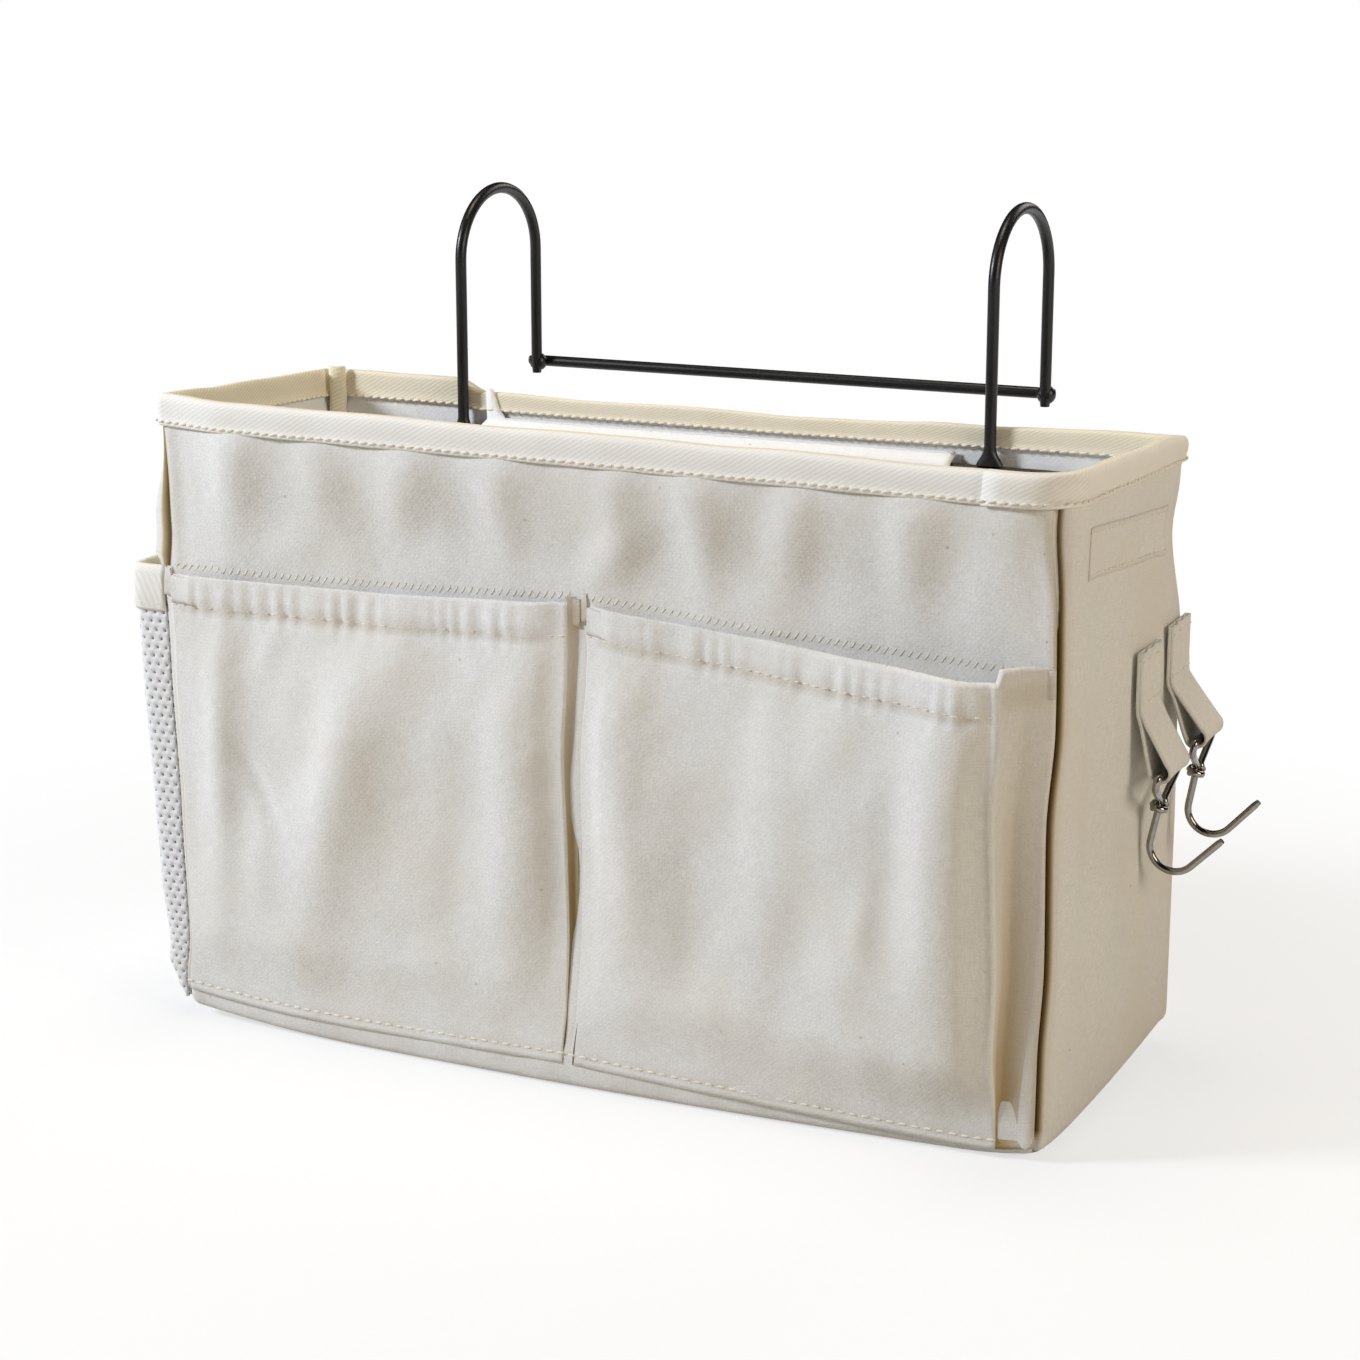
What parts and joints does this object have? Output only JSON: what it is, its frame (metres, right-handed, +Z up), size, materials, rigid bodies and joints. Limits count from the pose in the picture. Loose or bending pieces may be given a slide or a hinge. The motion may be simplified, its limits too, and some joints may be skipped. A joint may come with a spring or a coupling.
{
  "type": "bedside caddy",
  "caption": "Soft canvas bedside caddy with bellows front pockets, a mesh side pocket, key hooks on cloth loops and a black wire hanger that hooks over a bed rail.",
  "frame": {"origin": "middle of the bag's base, on the surface that it stands on", "axes": "+X towards the key-hook side, +Y towards the back wall and the bed, +Z up"},
  "size_m": [0.3672, 0.1936, 0.2809],
  "materials": {
    "canvas": "plain woven",
    "lining": "plain woven",
    "tape": "twill woven",
    "mesh": "knitted mesh",
    "board": "matt",
    "nickel": "nickel plated",
    "black_wire": "black powder coat"
  },
  "bodies": {
    "bag": {"bottom_panel": "canvas", "front_panel": "canvas", "back_panel": "canvas", "left_panel": "canvas", "right_panel": "canvas", "left_pocket": "canvas", "right_pocket": "canvas", "side_patch": "canvas", "front_strap_patch": "canvas", "rear_strap_patch": "canvas", "bottom_lining": "lining", "front_lining": "lining", "back_lining": "lining", "left_lining": "lining", "right_lining": "lining", "hanger_sleeve": "lining", "front_rim_tape": "tape", "back_rim_tape": "tape", "left_rim_tape": "tape", "right_rim_tape": "tape", "front_left_corner_tape": "tape", "front_right_corner_tape": "tape", "back_left_corner_tape": "tape", "back_right_corner_tape": "tape", "mesh_hem": "tape", "mesh_gusset": "mesh", "mesh_face": "mesh", "base_board": "board", "back_board": "board"},
    "hanger": {"left_hanger_hook": "black_wire", "right_hanger_hook": "black_wire", "lower_bar": "black_wire", "cross_bar": "black_wire"},
    "front_strap": {"front_strap_loop": "canvas"},
    "rear_strap": {"rear_strap_loop": "canvas"},
    "front_hook": {"front_key_hook": "nickel"},
    "rear_hook": {"rear_key_hook": "nickel"}
  },
  "joints": [
    {"name": "hanger_fold", "type": "hinge", "parent": "bag", "child": "hanger", "pos_m": [-0.004, 0.0521, 0.194], "axis": [1, 0, 0], "range_deg": [0, 180]},
    {"name": "front_strap_swing", "type": "hinge", "parent": "bag", "child": "front_strap", "pos_m": [0.16232, 0.01701, 0.129], "axis": [0.0094, -1, 0], "range_deg": [0, 66]},
    {"name": "rear_strap_swing", "type": "hinge", "parent": "bag", "child": "rear_strap", "pos_m": [0.16176, 0.04804, 0.1315], "axis": [0.0267, -0.9996, 0], "range_deg": [0, 56]},
    {"name": "front_hook_swing", "type": "hinge", "parent": "front_strap", "child": "front_hook", "pos_m": [0.17114, 0.0171, 0.10918], "axis": [0.0094, -1, 0], "range_deg": [0, 75]},
    {"name": "rear_hook_swing", "type": "hinge", "parent": "rear_strap", "child": "rear_hook", "pos_m": [0.17389, 0.04836, 0.11351], "axis": [0.0267, -0.9996, 0], "range_deg": [0, 75]}
  ]
}
